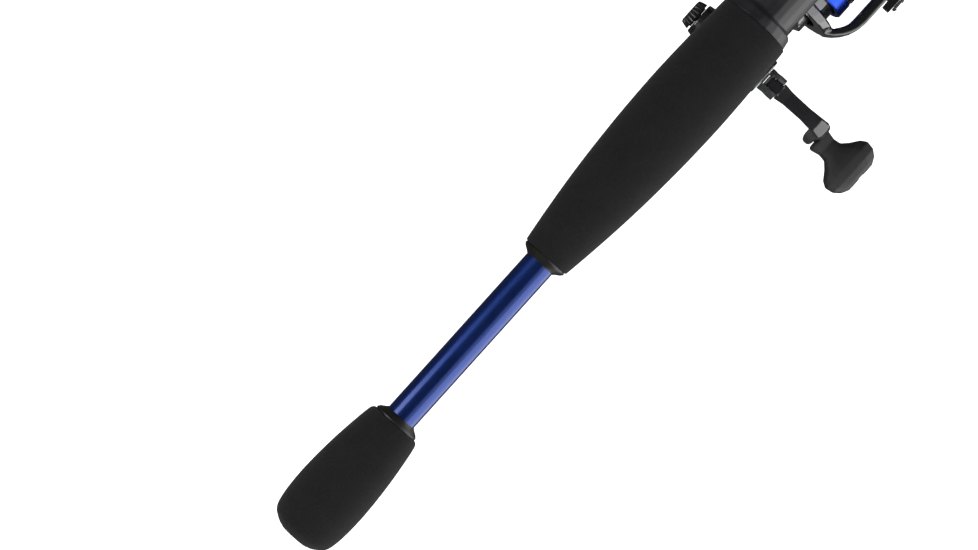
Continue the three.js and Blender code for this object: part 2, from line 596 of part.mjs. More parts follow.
function addGears(group) {
  const d = DRIVE;
  const o = OSCILLATOR;
  const wheel = toothed(d.face, d.face + d.thickness, d.radius, 1.1, d.teeth, { points: 2 });
  const recess = ring(d.face - 1, d.face + 1, d.hub, d.radius - 4, 32);
  const hub = rod(-BOSS.right + 2.6, COVER_JOINT + 3, d.hub, 24);
  const small = toothed(o.face - o.thickness, o.face, o.driver, 0.7, o.driverTeeth, { points: 2 });
  const drive = cut(join(wheel.subtract(recess), hub, small), hexBar(-30, 30, SHANK.hex + 0.4));
  add(group, 'drive_gear', alongY(drive, 0, -CRANK_DROP), FINISH.zinc);

  const pin = moved(rod(o.face - 0.5, SLIDER.near - FIT, 1.2, 12), 0, 0, STROKE);
  const gear = cut(
    join(toothed(o.face - o.thickness, o.face, o.radius, 0.7, o.teeth, { points: 2 }), pin),
    rod(-15, 0, o.stud + RUN, 16),
  );
  add(group, 'oscillator_gear', alongY(gear, ...o.at), FINISH.brass);

  const p = PINION;
  const pinion = cut(
    join(
      toothed(p.back, 9, p.radius, 0.7, p.teeth, { twist: 0.6, points: 2 }),
      rod(8.5, p.front, p.shank, 24),
    ),
    rod(p.back - 1, p.front + 1, SHAFT.radius + RUN, 20),
  );
  add(group, 'pinion', pinion, FINISH.brass);
}

function addShaft(group) {
  const s = SHAFT;
  add(group, 'main_shaft', rod(s.back, s.front, s.radius, 20), FINISH.steel);
  const [x, z] = OSCILLATOR.at;
  const slider = cut(
    block(x - 4.2, x + 4.2, SLIDER.near, SLIDER.far, z - 6.5, s.radius + 0.9),
    rod(x - 9, x + 9, s.radius + FIT, 20),
    block(x - 1.5, x + 1.5, SLIDER.near - 1, SLIDER.near + 2.3, z - 6, z + 6),
  );
  add(group, 'slider', slider, FINISH.zinc);
}

// ---- reel: rotor and bail ----

const closedAngle = THREE.MathUtils.degToRad(BAIL.closed);

// A point of the closed bail: u from the pivot axis, and y across the reel.
function bailPoint(u, y) {
  return new THREE.Vector3(BAIL.pivotX + u * Math.cos(closedAngle), y, -u * Math.sin(closedAngle));
}

function armSolid(side) {
  const a = ARM;
  const shape = new THREE.Shape();
  shape.moveTo(ROTOR.back, a.root);
  shape.lineTo(ROTOR.flange - 1, a.root);
  shape.lineTo(ROTOR.flange - 0.5, SPOOL.skirt + a.skirtRoom);
  shape.lineTo(ROTOR.flange + 1, SPOOL.skirt + 2 * a.skirtRoom);
  shape.bezierCurveTo(33, 26, 35, a.inner, 39, a.inner);
  shape.lineTo(a.front, a.inner);
  shape.bezierCurveTo(a.front + 1.5, a.inner + 1, a.front + 1.5, a.outer - 1, a.front, a.outer);
  shape.lineTo(40, a.outer);
  shape.bezierCurveTo(34, a.outer, 29, 28, ROTOR.back, 23);
  shape.lineTo(ROTOR.back, a.root);
  const geometry = new THREE.ExtrudeGeometry(shape, {
    depth: 2 * a.halfWidth - 2, curveSegments: 5, bevelEnabled: true, bevelThickness: 1, bevelSize: 1,
    bevelOffset: -1, bevelSegments: 2,
  });
  geometry.translate(0, 0, 1 - a.halfWidth);
  if (side < 0) geometry.rotateX(Math.PI);
  return solid(geometry);
}

function addRotor(group) {
  const r = ROTOR;
  const cup = turned([
    [r.front, r.hub], [r.front, r.drum - 1], [r.front - 1, r.drum],
    [r.flange + 0.4, r.drum], [r.flange, r.flangeRadius - 1],
    [r.flange - 1, r.flangeRadius], [r.back, r.flangeRadius - 1.5], [r.back, r.drum - r.drumWall],
    [r.front - r.drumWall, r.drum - r.drumWall], [r.front - r.drumWall, r.hub],
  ], 28);
  const inside = rod(r.back - 1, r.front - r.drumWall, r.drum - r.drumWall, 28);
  const screwHoles = [-1, 1].map((side) => {
    const hole = rod(ARM.inner - 1, ARM.outer + 1, PIVOT_SCREW.radius + FIT, 16);
    const inward = ARM.outer - PIVOT_SCREW.depth;
    const kept = hole.intersect(block(inward, ARM.outer + 1, -9, 9, -9, 9));
    const turnedHole = alongY(kept, BAIL.pivotX, 0);
    return side > 0 ? turnedHole : solid(geometryOf(turnedHole).scale(1, -1, 1));
  });
  add(group, 'rotor', cut(join(cup, armSolid(1), armSolid(-1)), inside, ...screwHoles), FINISH.graphite);
  const nutStart = r.front + FIT;
  add(group, 'rotor_nut', cut(
    toothed(nutStart, nutStart + 2.6, 7, 0, 6, { points: 1 }),
    rod(nutStart - 1, nutStart + 4, PINION.shank + FIT, 24),
  ), FINISH.brass);
}

// The lever on one rotor arm, from the pivot to where the bail wire ends.
function lever(side, reach, radius, endRadius) {
  const y0 = BAIL.plane + FIT;
  const half = BAIL.thickness;
  const pieces = [
    alongY(rod(y0, y0 + half, radius, 24), BAIL.pivotX, 0),
    alongY(rod(y0, y0 + half, endRadius, 20), bailPoint(reach, 0).x, bailPoint(reach, 0).z),
  ];
  const across = new THREE.Vector2(Math.sin(closedAngle), Math.cos(closedAngle));
  const [a, b] = [bailPoint(0, 0), bailPoint(reach, 0)];
  const web = corners([
    [a.x + across.x * radius * 0.92, a.z + across.y * radius * 0.92],
    [a.x - across.x * radius * 0.92, a.z - across.y * radius * 0.92],
    [b.x - across.x * endRadius * 0.92, b.z - across.y * endRadius * 0.92],
    [b.x + across.x * endRadius * 0.92, b.z + across.y * endRadius * 0.92],
  ]);
  const whole = join(...pieces, plate(web, y0, y0 + half));
  return side > 0 ? whole : solid(geometryOf(whole).scale(1, -1, 1));
}

function addBail(group) {
  const b = BAIL;
  const mid = b.plane + FIT + b.thickness / 2;
  const pivotHole = (side) => {
    const hole = alongY(rod(b.plane - 1, b.plane + 9, PIVOT_SCREW.radius + FIT, 16), b.pivotX, 0);
    return side > 0 ? hole : solid(geometryOf(hole).scale(1, -1, 1));
  };
  const end = bailPoint(b.rollerAt, 0);
  const rollerBolt = alongY(rod(b.plane - 6, b.plane + 9, 1.2, 12), end.x, end.z);
  const socket = (u, side) => {
    const place = bailPoint(u + 3, side * mid);
    return solid(new THREE.SphereGeometry(b.wire + 1, 12, 8).translate(place.x, place.y, place.z));
  };
  const wireRoom = (u, side) => {
    const from = bailPoint(u + 1.5, side * mid);
    const to = bailPoint(u + 12, side * mid);
    return wire(new THREE.LineCurve3(from, to), b.wire + 0.35, 1);
  };
  add(group, 'bail_arm', cut(
    join(lever(1, b.rollerAt, 5, 3.6), socket(b.rollerAt + 0.6, 1)),
    pivotHole(1), rollerBolt, wireRoom(b.rollerAt, 1),
  ), FINISH.graphite);
  add(group, 'bail_holder', cut(
    join(lever(-1, b.holderAt, 5, 3), socket(b.holderAt, -1)), pivotHole(-1), wireRoom(b.holderAt, -1),
  ), FINISH.graphite);

  const spots = [
    [b.rollerAt + 2, mid], [b.rollerAt + 5, mid], [b.rollerAt + 12, mid - 4], [b.reach - 4, mid - 12],
    [b.reach, mid - 23], [b.reach + 0.5, 0], [b.reach - 2, -mid + 18], [b.reach - 9, -mid + 7],
    [b.holderAt + 12, -mid + 0.8], [b.holderAt + 6, -mid], [b.holderAt + 2, -mid],
  ];
  const path = new THREE.CatmullRomCurve3(spots.map(([u, y]) => bailPoint(u, y)));
  add(group, 'bail_wire', wire(path, b.wire, 40), FINISH.steel);

  const top = b.plane - FIT;
  const { length, radius } = ROLLER;
  const waist = top - length / 2;
  const roller = cut(
    turned([
      [top - length, 0], [top - length, radius], [waist - 0.6, radius - 0.8],
      [waist + 0.6, radius - 0.8], [top, radius], [top, 0],
    ], 20),
    rod(top - 9, top + 1, 1.3, 12),
  );
  add(group, 'line_roller', alongY(roller, end.x, end.z), FINISH.steel);
  const outer = b.plane + FIT + b.thickness;
  const tip = top - length - FIT;
  const bolt = turned([
    [tip - 1, 0], [tip - 1, 2], [tip, 2], [tip, 1], [outer + FIT, 1], [outer + FIT, 2.4],
    [outer + 1.2, 2.4], [outer + 1.4, 0],
  ], 16);
  add(group, 'roller_screw', alongY(bolt, end.x, end.z), FINISH.steel);

  for (const [name, side] of [['arm_pivot_screw', 1], ['holder_pivot_screw', -1]]) {
    const s = PIVOT_SCREW;
    const seat = outer + FIT;
    const shape = alongY(turned([
      [ARM.outer - s.depth + 0.4, 0], [ARM.outer - s.depth + 0.4, s.radius], [seat, s.radius], [seat, s.head],
      [seat + s.headLength - 0.4, s.head], [seat + s.headLength, s.head - 0.6], [seat + s.headLength, 0],
    ], 16), b.pivotX, 0);
    add(group, name, side > 0 ? shape : solid(geometryOf(shape).scale(1, -1, 1)), FINISH.steel);
  }
}

// ---- reel: spool and drag ----

function addSpool(group) {
  const s = SPOOL;
  add(group, 'spool', turned([
    [s.web, s.bore], [s.web, s.skirtInner - 1], [s.web - 1, s.skirtInner], [s.skirtBack, s.skirtInner],
    [s.skirtBack, s.skirt - 0.5], [s.skirtBack + 0.5, s.skirt],
    [s.arborBack - 0.8, s.skirt], [s.arborBack, s.skirt - 0.8],
    [s.arborBack, s.arbor], [s.lip - 1, s.arbor], [s.lip, s.skirt - 1.2], [s.lip + 1.2, s.skirt],
    [s.front - 0.8, s.skirt - 0.4], [s.front, s.skirt - 2], [s.front - 1, s.pocket + 2], [s.front, s.pocket],
    [s.pocketBack, s.pocket], [s.pocketBack, s.bore],
  ], 28), FINISH.spool);

  const w = WASHER;
  const start = s.pocketBack + FIT;
  add(group, 'drag_washer', ring(start, start + w.length, w.inner, w.outer, 32), FINISH.felt);
  const clip = start + w.length + FIT;
  add(group, 'drag_retainer', cut(
    ring(clip, clip + 0.8, w.inner, s.pocket - 0.3, 32),
    block(clip - 1, clip + 2, -1.2, 1.2, 0, 20),
  ), FINISH.steel);

  const k = DRAG_KNOB;
  const boss = turned([
    [k.back - 1.5, 0], [k.back - 1.5, 7], [k.back + 1, 7], [k.back + 2.3, k.rim],
    [k.back + 5, k.rim], [k.back + 6, k.radius],
    [k.front - 3, k.radius - 0.8], [k.front - 0.8, k.radius - 2.4], [k.front, k.radius - 4], [k.front, 0],
  ]);
  const endRadius = k.radius + 0.1;
  const grip = toothed(k.back + 5.5, k.front - 2.5, k.radius + 1.2, k.ridgeDepth, k.ridges, { endRadius });
  const bore = rod(k.back - 3, SHAFT.front + 0.3, SHAFT.radius + RUN, 20);
  add(group, 'drag_knob', cut(join(boss, grip), bore), FINISH.dark);
}

// ---- reel: crank, knob and screw cap ----

// The crank's arm and the outer half of its shank are one casting: an L in the plane of the crank's axis.
function armCasting() {
  const c = CRANK;
  const elbow = KNUCKLE.y - c.reach;
  const end = -c.length + SPINDLE.eye;
  const tilt = (y, z, w, out, up) => softRing([0, y, z], [w, 0, 0], [0, -out, up]);
  return loft([
    tilt(KNUCKLE.y - 4.7, 0, 3.6, 0, 3), tilt(KNUCKLE.y - 9, 0, 3, 0, 2.6), tilt(elbow + 9, 0, 2.9, 0, 2.5),
    tilt(elbow + 3.4, -0.5, 3.3, 0.8, 2.7), tilt(elbow + 0.6, -2.2, 3.7, 2, 2.2),
    tilt(elbow, -5.5, 3.8, 2.6, 0.8),
    tilt(elbow, -10, 3.6, 2.5, 0), tilt(elbow, end + 9, 3.3, 2.3, 0), tilt(elbow, end + 4, 4, 2.3, 0),
    tilt(elbow, end, 4.6, 2.4, 0), tilt(elbow, end - 3, 3.6, 2.4, 0), tilt(elbow, end - 4.4, 1.8, 2.2, 0),
  ]);
}

function addCrank(group) {
  const k = KNUCKLE;
  const z = -CRANK_DROP;
  const forkEnd = k.y - 4.5;
  const fork = rod(forkEnd, -BOSS.right - FIT, k.radius, 24);
  const shank = cut(
    join(hexBar(k.y + 2.5, SHANK.start, SHANK.hex), fork),
    block(forkEnd - 1, k.y + 2.2, -k.slot / 2 - RUN, k.slot / 2 + RUN, -9, 9),
    rod(SHANK.start - 9, SHANK.start + 1, CAP.bolt + FIT, 16),
  );
  const pinBore = rod(-9, 9, k.pin + FIT, 16);
  add(group, 'crank_shank', cut(alongY(shank, 0, z), moved(pinBore, 0, k.y, z)), FINISH.steel);
  add(group, 'knuckle_pin', moved(rod(-k.radius + 0.4, k.radius - 0.4, k.pin, 16), 0, k.y, z), FINISH.steel);

  const c = CRANK;
  const elbow = k.y - c.reach;
  const tongue = join(
    block(-k.slot / 2, k.slot / 2, k.y - 5, k.y, -3, 3),
    moved(rod(-k.slot / 2, k.slot / 2, 3, 20), 0, k.y, 0).intersect(block(-9, 9, k.y - 1, k.y + 1.9, -9, 9)),
  );
  const knobZ = -c.length + SPINDLE.eye;
  const arm = cut(
    join(armCasting(), tongue),
    moved(pinBore, 0, k.y, 0),
    alongY(rod(elbow - 9, elbow + 9, SPINDLE.radius + FIT, 16), 0, knobZ),
  );
  add(group, 'crank_arm', moved(arm, 0, 0, z), FINISH.zinc);

  const faceY = elbow - c.thickness / 2 - FIT;
  const far = faceY - KNOB.length;
  const s = SPINDLE;
  add(group, 'knob_spindle', alongY(turned([
    [far + 1.5, 0], [far + 1.5, s.head], [far + 2.7, s.head], [far + 2.7, s.radius],
    [elbow + c.thickness / 2, s.radius], [elbow + c.thickness / 2, 0],
  ], 16), 0, z + knobZ), FINISH.steel);

  const b = KNOB;
  const sections = [
    [0, b.stem - 0.7, b.stem - 0.7], [1, b.stem, b.stem], [5, b.stem - 0.9, b.stem - 0.9],
    [8, b.stem - 0.4, b.stem - 0.6], [10.5, b.stem + 2.2, b.stem],
    [13, b.halfWidth - 1.6, b.halfDepth - 0.4], [15.5, b.halfWidth, b.halfDepth],
    [19, b.halfWidth - 0.6, b.halfDepth - 0.3], [21.5, b.halfWidth - 2.6, b.halfDepth - 1.4],
    [b.length, b.halfWidth - 5.5, b.halfDepth - 3],
  ];
  const grip = loft(sections.map(([out, a, d]) => softRing([0, faceY - out, 0], [a, 0, 0], [0, 0, d], 20)));
  const knob = cut(
    grip,
    alongY(rod(far - 1, faceY + 1, s.radius + RUN, 16)),
    alongY(rod(far - 2, far + 2.7 + RUN, s.head + RUN, 16)),
  );
  add(group, 'crank_knob', moved(knob, 0, 0, z + knobZ), FINISH.rubber);

  const q = CAP;
  const under = BOSS.left + q.gap;
  const cap = join(
    toothed(under, under + q.height, q.base, q.ridgeDepth, q.ridges, { endRadius: q.top }),
    rod(SHANK.start - 7.5, under + 0.5, q.bolt, 16),
    rod(BOSS.left + RUN, under + 0.5, q.base - 1.6, 24),
  );
  add(group, 'screw_cap', alongY(cap, 0, z), FINISH.dark);
}

// The anti-reverse lever: a tab that stands out through a slot under the housing and rocks on its own axle.
function addLever(group) {
  const l = LEVER;
  const tab = block(-1.5, 1.5, -l.width / 2, l.width / 2, -l.reach, -2);
  const hub = alongY(rod(-l.width / 2, l.width / 2, l.hub, 20));
  const axle = alongY(rod(-BODY.halfWidth + 1.1, COVER_JOINT - 1, l.axle, 12));
  const [x, z] = l.at;
  const lever = geometryOf(join(tab, hub, axle)).rotateY(THREE.MathUtils.degToRad(l.tilt));
  add(group, 'anti_reverse_lever', solid(lever.translate(x, 0, z)), FINISH.dark);
}

// ---- the whole object ----

const whole = new THREE.Group();
const handle = new THREE.Group();
addHandle(handle);
addSeat(handle);
addSections(handle);
whole.add(handle);

const reel = new THREE.Group();
reel.position.set(CRANK_X, 0, -SPOOL_DROP);
addBody(reel);
addBearings(reel);
addGears(reel);
addShaft(reel);
addRotor(reel);
addBail(reel);
addSpool(reel);
addCrank(reel);
addLever(reel);
whole.add(reel);

export default whole;
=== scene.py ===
from math import cos, pi, radians, sin, sqrt

import bmesh
import bpy
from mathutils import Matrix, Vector


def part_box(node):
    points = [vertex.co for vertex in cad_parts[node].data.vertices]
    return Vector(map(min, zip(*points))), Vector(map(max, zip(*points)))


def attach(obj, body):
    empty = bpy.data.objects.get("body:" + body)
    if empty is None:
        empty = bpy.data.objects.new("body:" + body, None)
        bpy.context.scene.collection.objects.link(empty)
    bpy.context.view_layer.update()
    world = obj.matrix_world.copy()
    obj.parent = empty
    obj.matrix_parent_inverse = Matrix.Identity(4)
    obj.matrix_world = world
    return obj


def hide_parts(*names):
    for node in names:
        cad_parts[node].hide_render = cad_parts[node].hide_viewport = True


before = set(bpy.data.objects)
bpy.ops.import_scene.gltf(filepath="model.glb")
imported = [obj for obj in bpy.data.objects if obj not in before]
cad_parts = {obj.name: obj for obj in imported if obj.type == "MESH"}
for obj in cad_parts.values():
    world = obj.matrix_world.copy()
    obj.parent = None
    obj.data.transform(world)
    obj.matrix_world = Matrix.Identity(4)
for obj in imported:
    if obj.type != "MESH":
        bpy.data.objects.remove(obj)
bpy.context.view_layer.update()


# ---- camera, lights and floor ----
# The rod is seen square on from its spine side, from a little over a metre away, butt at the lower left.
# Two broad soft lights on the crank's side draw the tube's wide bright band, a strip beside the butt the
# narrow one. The floor glows by itself, and its glow fades away from the rod: a painted pool of light. It and
# the fill leave no reflections.

def linear(code):
    """The linear colour of an sRGB code such as 0x1a2b3c."""
    parts = [(code >> shift & 255) / 255 for shift in (16, 8, 0)]
    return tuple(c / 12.92 if c <= 0.04045 else ((c + 0.055) / 1.055) ** 2.4 for c in parts) + (1.0,)


CAMERA_HEIGHT = 1.2
VIEW_WIDTH = 0.3546
VIEW_CENTRE = (0.1176, 0.0109)
ROD_SLANT = radians(47.97)
SENSOR_WIDTH = 36

camera = bpy.data.objects.new("camera", bpy.data.cameras.new("camera"))
bpy.context.scene.collection.objects.link(camera)
camera.location = (*VIEW_CENTRE, CAMERA_HEIGHT)
camera.rotation_euler = (0, 0, -ROD_SLANT)
camera.data.sensor_width = SENSOR_WIDTH
camera.data.lens = SENSOR_WIDTH * CAMERA_HEIGHT / VIEW_WIDTH
bpy.context.scene.camera = camera


def area_light(name, centre, target, size, power):
    """A soft rectangular lamp; the first side of its size lies level."""
    light = bpy.data.lights.new(name, "AREA")
    light.shape = "RECTANGLE"
    light.size, light.size_y = size
    light.energy = power
    lamp = bpy.data.objects.new(name, light)
    bpy.context.scene.collection.objects.link(lamp)
    lamp.location = centre
    away = Vector(centre) - Vector(target)
    lamp.rotation_euler = away.to_track_quat("Z", "Y").to_euler()
    return lamp


AIM = (0.2, 0, 0)
BESIDE_BUTT = -0.42
low_lamp = area_light("light_crank_side", (0.2, -0.6, -0.01), AIM, (2.0, 0.88), 14.4)
area_light("light_crank_side_high", (0.2, -0.85, 0.9), AIM, (2.0, 0.6), 3.6)
area_light("light_cap_side", (BESIDE_BUTT, 0.6, 0.47), (BESIDE_BUTT, 0, 0), (0.92, 0.44), 6.2)
fill = area_light("light_polarised_fill", (0.2, 0.5, 1.4), AIM, (1.2, 1.2), 18)
fill.visible_glossy = False

world = bpy.data.worlds.new("studio")
bpy.context.scene.world = world
world.use_nodes = True
air = world.node_tree.nodes["Background"].inputs
air["Color"].default_value = (1, 1, 1, 1)
air["Strength"].default_value = 0.06
bpy.context.scene.view_settings.view_transform = "Standard"

FLOOR_Z = -0.5
FLOOR_REACH = 14
corners = [(FLOOR_REACH * x, FLOOR_REACH * y, FLOOR_Z) for x, y in ((-1, -1), (1, -1), (1, 1), (-1, 1))]
sheet = bpy.data.meshes.new("floor")
sheet.from_pydata(corners, [], [(0, 1, 2, 3)])
floor = bpy.data.objects.new("floor", sheet)
bpy.context.scene.collection.objects.link(floor)
floor.visible_glossy = False
passed_over = bpy.data.collections.new("passed_over_by_the_low_lamp")
passed_over.objects.link(floor)
passed_over.collection_objects[0].light_linking.link_state = "EXCLUDE"
low_lamp.light_linking.receiver_collection = passed_over


def put(tree, kind, inputs=(), **settings):
    """Adds one node with its settings; each input takes a value or the output that feeds it."""
    made = tree.nodes.new("ShaderNode" + kind)
    for name, value in settings.items():
        setattr(made, name, value)
    for name, value in dict(inputs).items():
        if isinstance(value, bpy.types.NodeSocket):
            tree.links.new(value, made.inputs[name])
        else:
            made.inputs[name].default_value = value
    return made


def material(name, color, **values):
    """A new material with its surface node, its node tree and a place in metres."""
    made = bpy.data.materials.new(name)
    made.use_nodes = True
    surface = made.node_tree.nodes["Principled BSDF"]
    surface.inputs["Base Color"].default_value = linear(color)
    for key, value in values.items():
        surface.inputs[key.replace("_", " ")].default_value = value
    place = put(made.node_tree, "TexCoord").outputs["Object"]
    return made, made.node_tree, surface, place


def feed(tree, surface, socket, output):
    tree.links.new(output, surface.inputs[socket])


def bumpy(tree, surface, height, depth, sockets=("Normal",)):
    """Raises the surface by a height pattern that is depth metres deep."""
    bump = put(tree, "Bump", {"Height": height, "Strength": 1.0, "Distance": depth})
    for socket in sockets:
        feed(tree, surface, socket, bump.outputs["Normal"])


def mixed(tree, factor, first, second):
    """A colour between two sRGB codes."""
    blend = put(tree, "Mix", {0: factor, 6: linear(first), 7: linear(second)}, data_type="RGBA")
    return blend.outputs[2]


def ranged(tree, value, low, high, from_low=0.0, from_high=1.0):
    return put(tree, "MapRange", {"Value": value, "From Min": from_low, "From Max": from_high,
                                  "To Min": low, "To Max": high}).outputs["Result"]


# backdrop: opal acrylic, cast in sheet, that glows by itself; its glow fades with distance from the view's
# centre, a painted pool of light
NEAR_GLOW, FAR_GLOW = 1.0, 0.3
GLOW_FADES = (0.3, 2.5)
board, tree, surface, place = material("glowing_floor_with_painted_light_pool", 0xDADADA, Roughness=0.6)
grain = put(tree, "TexNoise", {"Vector": place, "Scale": 60.0}).outputs["Fac"]
feed(tree, surface, "Base Color", mixed(tree, grain, 0xD6D6D6, 0xDCDCDC))
surface.inputs["Emission Color"].default_value = linear(0xFFFFFF)
middle = (*VIEW_CENTRE, FLOOR_Z)
# painted pool of light: the floor's glow is strongest at the view's centre and fades outward
offset = put(tree, "VectorMath", {0: place, 1: middle}, operation="DISTANCE").outputs["Value"]
feed(tree, surface, "Emission Strength", ranged(tree, offset, NEAR_GLOW, FAR_GLOW, *GLOW_FADES))
sheet.materials.append(board)


# ---- butt tube and inner sections ----
# The rod's tubes are rolled from resin-filled glass and carbon cloth, baked and ground, then dipped in a
# metallic blue lacquer under a clear coat. The inner ones slide in each other and jam on their own taper.

def finish_mesh(piece, angle):
    """Rounds the shading except across edges sharper than the angle."""
    piece.data.shade_smooth()
    piece.data.set_sharp_from_angle(angle=radians(angle))


def add_piece(name, made, nodes, body, finish, angle):
    """Turns a bmesh into a piece that stands for CAD nodes and moves with their body."""
    mesh = bpy.data.meshes.new(name)
    bmesh.ops.recalc_face_normals(made, faces=made.faces)
    made.to_mesh(mesh)
    made.free()
    piece = bpy.data.objects.new(name, mesh)
    bpy.context.scene.collection.objects.link(piece)
    mesh.materials.append(finish)
    finish_mesh(piece, angle)
    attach(piece, body)
    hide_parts(*nodes)
    return piece


ON_AXIS = 1e-6


def skinned(made, rings, closed):
    """Joins each ring of points to the next, and the last to the first if the profile is closed."""
    sides = max(len(ring) for ring in rings)
    pairs = list(zip(rings, rings[1:])) + ([(rings[-1], rings[0])] if closed else [])
    for a, b in pairs:
        for i in range(sides):
            j = (i + 1) % sides
            corners = [a[i % len(a)], a[j % len(a)], b[j % len(b)], b[i % len(b)]]
            made.faces.new(list(dict.fromkeys(corners)))
    return made


def turned(profile, sides, z=0.0):
    """The skin of a profile of (x, radius) points in millimetres, turned about a line along X at height z."""
    made = bmesh.new()
    rings = []
    for x, r in profile:
        turns = [2 * pi * i / sides for i in range(sides if r > ON_AXIS else 1)]
        rings.append([made.verts.new((x / 1000, r * cos(a) / 1000, (z + r * sin(a)) / 1000)) for a in turns])
    return skinned(made, rings, profile[0][1] > ON_AXIS)


def eased(points, steps=6):
    """A smooth line through (x, radius) points."""
    out = []
    last = len(points) - 1
    for i in range(last):
        four = [points[max(0, min(last, k))] for k in (i - 1, i, i + 1, i + 2)]
        for s in range(steps):
            t = s / steps
            out.append(tuple(
                0.5 * (2 * b + (c - a) * t + (2 * a - 5 * b + 4 * c - d) * t ** 2
                       + (3 * b - a - 3 * c + d) * t ** 3)
                for a, b, c, d in zip(*four)
            ))
    return out + [points[-1]]


def span(node):
    """A node's lowest and highest x in millimetres."""
    low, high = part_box(node)
    return low[0] * 1000, high[0] * 1000


def blue_lacquer():
    """Metallic blue lacquer under a clear coat, dipped and baked."""
    made, tree, surface, place = material(
        "metallic_blue_lacquer", 0x0A2C74, Metallic=0.85, Roughness=0.3, Coat_Weight=0.65, Coat_Roughness=0.14
    )
    flakes = put(tree, "TexVoronoi", {"Vector": place, "Scale": 9000.0}).outputs["Color"]
    level = put(tree, "SeparateColor", {"Color": flakes}).outputs["Red"]
    cloud = put(tree, "TexNoise", {"Vector": place, "Scale": 90.0, "Detail": 3.0}).outputs["Fac"]
    feed(tree, surface, "Base Color", mixed(tree, ranged(tree, level, 0.0, 1.0), 0x092468, 0x18377B))
    feed(tree, surface, "Roughness", ranged(tree, cloud, 0.28, 0.38, 0.3, 0.7))
    wave = put(tree, "TexNoise", {"Vector": place, "Scale": 220.0, "Detail": 1.0}).outputs["Fac"]
    bumpy(tree, surface, wave, 0.00001, ("Coat Normal",))
    return made


LACQUER = blue_lacquer()
# node, body, radius at the back, radius at the front, wall; the tip is solid
TUBES = [
    ("butt_tube", "rod", 6.0, 6.0, 0.8),
    ("section_2", "second_section", 4.9, 4.3, 0.8),
    ("section_3", "third_section", 3.2, 2.7, 0.7),
    ("section_4", "fourth_section", 1.7, 1.448, 0.6),
    ("section_5", "tip_section", 0.548, 0.428, None),
]
LIP = 0.12
for node, body, back, front, wall in TUBES:
    x0, x1 = span(node)
    if wall:
        profile = [
            (x0, back - wall), (x0, back - LIP), (x0 + LIP, back), (x1 - LIP, front), (x1, front - LIP),
            (x1, front - wall),
        ]
    else:
        profile = [(x0, 0), (x0, back), (x1, front), (x1, 0)]
    add_piece(f"lacquered_{node}", turned(profile, 64), [node], body, LACQUER, 30)


# ---- foam grips ----
# The grips are closed-cell foam, sliced from a block, pushed and glued on the tube and ground to shape while
# the rod turns. Grinding opens the cells at the skin, so the foam looks finely pitted and matt, and the torn
# cell walls catch a little light like a nap.

def ground_foam():
    """Closed-cell foam with its skin ground off."""
    made, tree, surface, place = material(
        "ground_closed_cell_foam", 0x1A1A1A, Roughness=0.93, Sheen_Weight=0.025, Sheen_Roughness=0.5
    )
    surface.inputs["Specular IOR Level"].default_value = 0.12
    cells = put(tree, "TexVoronoi", {"Vector": place, "Scale": 2600.0}, feature="F1").outputs["Distance"]
    pits = put(tree, "TexVoronoi", {"Vector": place, "Scale": 900.0}, feature="F1").outputs["Distance"]
    cloud = put(tree, "TexNoise", {"Vector": place, "Scale": 140.0, "Detail": 6.0}).outputs["Fac"]
    # painted shade: the base colour follows the cells, darker in their hollows where the bump sinks; the slow
    # cloud is the foam's own uneven tone
    fine = ranged(tree, cells, 0.0, 0.75, 0.0, 0.8)
    slow = ranged(tree, cloud, -0.05, 0.15, 0.3, 0.7)
    shade = put(tree, "Math", {0: fine, 1: slow}, operation="ADD", use_clamp=True).outputs["Value"]
    feed(tree, surface, "Base Color", mixed(tree, shade, 0x111112, 0x1E1E1F))
    deep = ranged(tree, pits, -0.3, 0.3)
    height = put(tree, "Math", {0: cells, 1: deep}, operation="ADD").outputs["Value"]
    bumpy(tree, surface, height, 0.00007)
    return made


FOAM = ground_foam()
BORE = 6.3
BUTT_FACE = 0.5
butt_end = span("butt_grip")[1]
rear_start, rear_end = span("rear_grip")
fore_start, fore_end = span("fore_grip")
GRIPS = {
    "butt_grip": (BUTT_FACE, butt_end, [
        (0.35, 6.6), (0.55, 7.4), (1.45, 9.1), (2.9, 11.1), (4.35, 12.15), (5.8, 12.7), (7.25, 13.05),
        (10.15, 13.5), (14.5, 13.85), (20.3, 14.0), (26.8, 13.82), (34.1, 13.37), (41.3, 12.65), (48.6, 11.7),
        (52.2, 11.1), (53.4, 10.8), (54.2, 10.35), (butt_end, 9.6),
    ]),
    "rear_grip": (rear_start, rear_end, [
        (rear_start, 9.1), (rear_start + 0.25, 9.5), (137.2, 9.75), (142.8, 10.55), (150.1, 11.5),
        (160.95, 12.75), (171.8, 13.75), (182.7, 14.5), (193.6, 15.05), (204.5, 15.36), (213.5, 15.45),
        (222, 15.32), (230.6, 15.08), (240, 14.7), (rear_end - 0.6, 14.3), (rear_end, 13.8),
    ]),
    "fore_grip": (fore_start, fore_end, [
        (fore_start, 11.9), (fore_start + 0.7, 12.5), (fore_start + 3, 12.75), (fore_start + 9, 12.6),
        (fore_start + 18, 11.4), (fore_start + 28, 9.9), (fore_end - 3, 9.25), (fore_end - 0.7, 9.0),
        (fore_end, 8.5),
    ]),
}
for node, (start, end, skin) in GRIPS.items():
    profile = [(start, BORE)] + eased(skin) + [(end, BORE)]
    grip = add_piece(f"foam_{node}", turned(profile, 128), [node], "rod", FOAM, 50)


# ---- winding checks and butt plug ----
# Short cones of injection-moulded plastic close each grip where it meets the tube. They are pushed on and
# glued. The plug is a moulded rubber stopper with two holes for a pin spanner.

